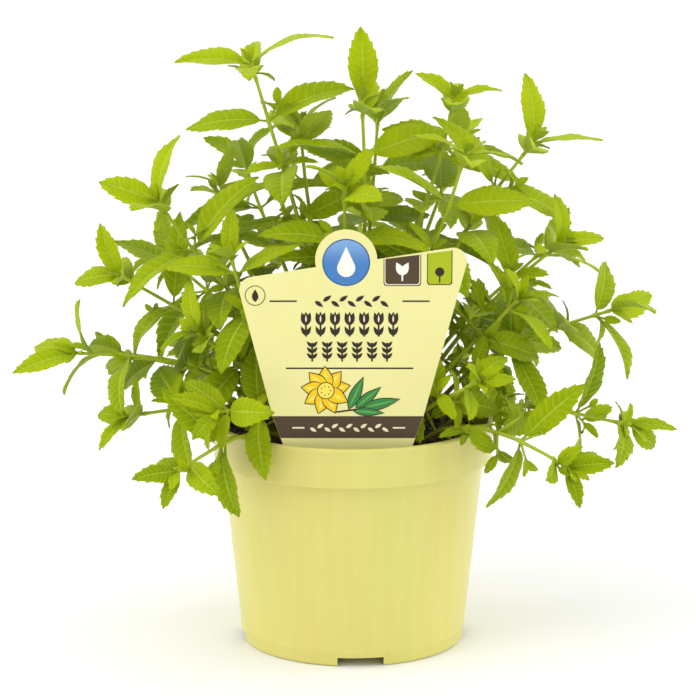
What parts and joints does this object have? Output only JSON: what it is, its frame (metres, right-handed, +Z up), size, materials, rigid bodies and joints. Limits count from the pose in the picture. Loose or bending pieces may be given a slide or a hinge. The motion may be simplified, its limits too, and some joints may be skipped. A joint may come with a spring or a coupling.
{
  "type": "potted lemon verbena",
  "caption": "Bushy herb with toothed green leaves on thin stems, in a pale yellow nursery pot with a card label.",
  "frame": {"origin": "under the middle of the whole plant's box, on the surface that the pot stands on", "axes": "+Z up, -Y towards the label side, which is the front"},
  "size_m": [0.3016, 0.2174, 0.2832],
  "materials": {
    "pot_plastic": "satin moulded plastic, pale yellow",
    "peat_soil": "moist dark peat with bark fibres",
    "label_card": "smooth printed card, pale yellow",
    "leaf_green": "fresh leaf, softly matte, with a faint sheen"
  },
  "bodies": {
    "root": {"back_left_arch": "leaf_green", "back_left_high": "leaf_green", "back_left_low": "leaf_green", "back_low": "leaf_green", "back_middle_arch": "leaf_green", "back_right_arch": "leaf_green", "back_right_high": "leaf_green", "back_right_low": "leaf_green", "back_tall": "leaf_green", "label": "label_card", "left_arch": "leaf_green", "left_back_low": "leaf_green", "left_back_small": "leaf_green", "left_far": "leaf_green", "left_front_low": "leaf_green", "left_front_upright": "leaf_green", "left_high": "leaf_green", "left_low": "leaf_green", "left_low_front": "leaf_green", "left_mid": "leaf_green", "middle_front": "leaf_green", "middle_left_high": "leaf_green", "pot": "pot_plastic", "right_arch": "leaf_green", "right_far": "leaf_green", "right_front_high": "leaf_green", "right_front_low": "leaf_green", "right_high": "leaf_green", "right_low": "leaf_green", "right_low_front": "leaf_green", "right_mid": "leaf_green", "soil": "peat_soil", "tall_left": "leaf_green", "tall_middle": "leaf_green", "tall_right": "leaf_green"}
  },
  "joints": []
}
